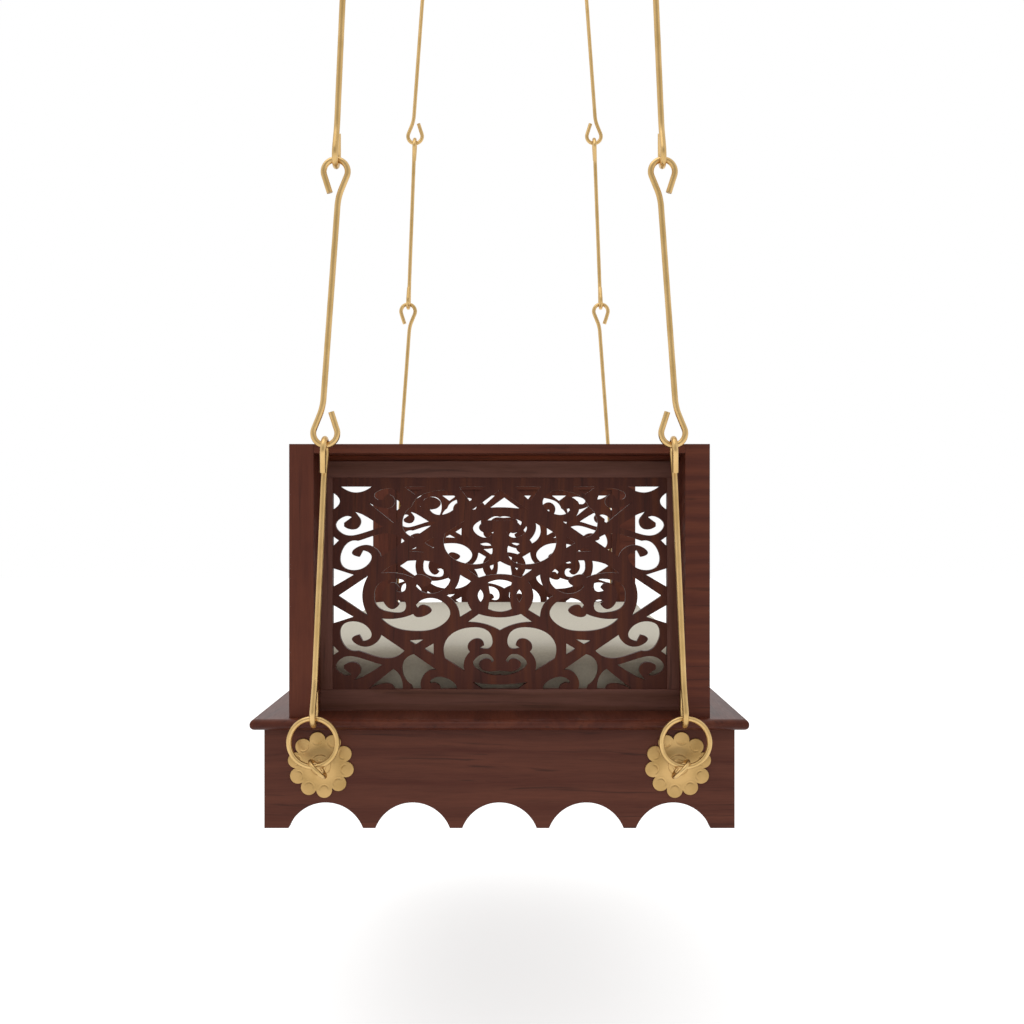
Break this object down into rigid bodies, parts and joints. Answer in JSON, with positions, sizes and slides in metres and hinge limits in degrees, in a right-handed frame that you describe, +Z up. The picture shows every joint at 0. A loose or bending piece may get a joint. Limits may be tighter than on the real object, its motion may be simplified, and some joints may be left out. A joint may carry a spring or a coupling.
{
  "type": "jhoola swing",
  "caption": "Hanging plank swing seat with low pierced wooden arms, a flat cushion and chains of long brass hook links with rings, eyes and rosettes, hung from ceiling eyes.",
  "frame": {"origin": "middle of the four ceiling studs, on the ceiling face", "axes": "+Z up; X is the seat's depth and the direction of the swing; Y is the seat's length, with the near arm at -Y"},
  "size_m": [0.633, 1.3318, 2.003],
  "materials": {
    "plank_wood": "polished dark stained sheesham board with a satin sheen",
    "arm_wood": "satin stained sheesham",
    "jali_wood": "satin stained sheesham with upright grain",
    "apron_wood": "satin stained sheesham with long dark grain and knots",
    "inner_wood": "plain planed wood",
    "brass": "drawn and hand-bent brass, lightly worn",
    "steel": "plain steel",
    "cushion_cover": "plain off-white cotton"
  },
  "bodies": {
    "ceiling": {"ceiling_eyes": "brass", "ceiling_plates": "brass", "ceiling_nuts": "brass"},
    "seat": {"seat_plank": "plank_wood", "corner_blocks": "inner_wood", "cross_battens": "inner_wood", "cushion": "cushion_cover", "arm_screws": "steel", "batten_screws": "steel", "left_side_apron": "apron_wood", "right_side_apron": "apron_wood", "eye_bolts": "brass", "eye_nuts": "brass", "near_end_apron": "apron_wood", "near_rosettes": "brass", "near_top_rail": "arm_wood", "near_rail_spacer": "arm_wood", "near_frame_top": "arm_wood", "near_frame_bottom": "arm_wood", "near_frame_sides": "arm_wood", "near_jali": "jali_wood", "near_left_post": "arm_wood", "near_right_post": "arm_wood", "far_end_apron": "apron_wood", "far_rosettes": "brass", "far_top_rail": "arm_wood", "far_rail_spacer": "arm_wood", "far_frame_top": "arm_wood", "far_frame_bottom": "arm_wood", "far_frame_sides": "arm_wood", "far_jali": "jali_wood", "far_left_post": "arm_wood", "far_right_post": "arm_wood"},
    "near_left_top_link": {"near_left_link_5": "brass"},
    "near_left_chain": {"near_left_link_4": "brass", "near_left_link_3": "brass", "near_left_link_2": "brass", "near_left_link_1": "brass"},
    "near_left_ring": {"near_left_ring": "brass"},
    "near_right_top_link": {"near_right_link_5": "brass"},
    "near_right_chain": {"near_right_link_4": "brass", "near_right_link_3": "brass", "near_right_link_2": "brass", "near_right_link_1": "brass"},
    "near_right_ring": {"near_right_ring": "brass"},
    "far_left_top_link": {"far_left_link_5": "brass"},
    "far_left_chain": {"far_left_link_4": "brass", "far_left_link_3": "brass", "far_left_link_2": "brass", "far_left_link_1": "brass"},
    "far_left_ring": {"far_left_ring": "brass"},
    "far_right_top_link": {"far_right_link_5": "brass"},
    "far_right_chain": {"far_right_link_4": "brass", "far_right_link_3": "brass", "far_right_link_2": "brass", "far_right_link_1": "brass"},
    "far_right_ring": {"far_right_ring": "brass"}
  },
  "joints": [
    {"name": "near_left_swing", "type": "hinge", "parent": "ceiling", "child": "near_left_top_link", "pos_m": [-0.16284, -0.626, -0.04435], "axis": [0, 1, 0], "range_deg": [-15, 15]},
    {"name": "near_left_sway", "type": "hinge", "parent": "near_left_top_link", "child": "near_left_chain", "pos_m": [-0.1768, -0.626, -0.39508], "axis": [1, 0, 0], "range_deg": [-2, 2]},
    {"name": "near_right_swing", "type": "hinge", "parent": "ceiling", "child": "near_right_top_link", "pos_m": [0.16284, -0.626, -0.04435], "axis": [0, 1, 0], "range_deg": [-15, 15]},
    {"name": "near_right_sway", "type": "hinge", "parent": "near_right_top_link", "child": "near_right_chain", "pos_m": [0.1768, -0.626, -0.39508], "axis": [1, 0, 0], "range_deg": [-2, 2]},
    {"name": "far_left_swing", "type": "hinge", "parent": "ceiling", "child": "far_left_top_link", "pos_m": [-0.16284, 0.626, -0.04435], "axis": [0, 1, 0], "range_deg": [-15, 15]},
    {"name": "far_left_sway", "type": "hinge", "parent": "far_left_top_link", "child": "far_left_chain", "pos_m": [-0.1768, 0.626, -0.39508], "axis": [1, 0, 0], "range_deg": [-2, 2]},
    {"name": "far_right_swing", "type": "hinge", "parent": "ceiling", "child": "far_right_top_link", "pos_m": [0.16284, 0.626, -0.04435], "axis": [0, 1, 0], "range_deg": [-15, 15]},
    {"name": "far_right_sway", "type": "hinge", "parent": "far_right_top_link", "child": "far_right_chain", "pos_m": [0.1768, 0.626, -0.39508], "axis": [1, 0, 0], "range_deg": [-2, 2]},
    {"name": "near_left_ring_sway", "type": "hinge", "parent": "near_left_chain", "child": "near_left_ring", "pos_m": [-0.23265, -0.626, -1.79821], "axis": [1, 0, 0], "range_deg": [-2, 2]},
    {"name": "seat_tilt", "type": "hinge", "parent": "near_left_ring", "child": "seat", "pos_m": [-0.23718, -0.626, -1.85216], "axis": [0, 1, 0], "range_deg": [-10.5, 10.5]},
    {"name": "near_right_ring_tilt", "type": "hinge", "parent": "seat", "child": "near_right_ring", "pos_m": [0.23718, -0.626, -1.85216], "axis": [0, 1, 0], "range_deg": [-10.5, 10.5]},
    {"name": "far_left_ring_tilt", "type": "hinge", "parent": "seat", "child": "far_left_ring", "pos_m": [-0.23718, 0.626, -1.85216], "axis": [0, 1, 0], "range_deg": [-10.5, 10.5]},
    {"name": "far_right_ring_tilt", "type": "hinge", "parent": "seat", "child": "far_right_ring", "pos_m": [0.23718, 0.626, -1.85216], "axis": [0, 1, 0], "range_deg": [-10.5, 10.5]}
  ],
  "couplings": [
    {"joint": "near_right_swing", "follows": "near_left_swing", "ratio": 1},
    {"joint": "near_right_sway", "follows": "near_left_sway", "ratio": 1},
    {"joint": "far_left_swing", "follows": "near_left_swing", "ratio": 1},
    {"joint": "far_left_sway", "follows": "near_left_sway", "ratio": 1},
    {"joint": "far_right_swing", "follows": "near_left_swing", "ratio": 1},
    {"joint": "far_right_sway", "follows": "near_left_sway", "ratio": 1},
    {"joint": "near_left_ring_sway", "follows": "near_left_sway", "ratio": -1},
    {"joint": "seat_tilt", "follows": "near_left_swing", "ratio": -0.6866},
    {"joint": "near_right_ring_tilt", "follows": "near_left_swing", "ratio": 0.6866},
    {"joint": "far_left_ring_tilt", "follows": "near_left_swing", "ratio": 0.6866},
    {"joint": "far_right_ring_tilt", "follows": "near_left_swing", "ratio": 0.6866}
  ]
}
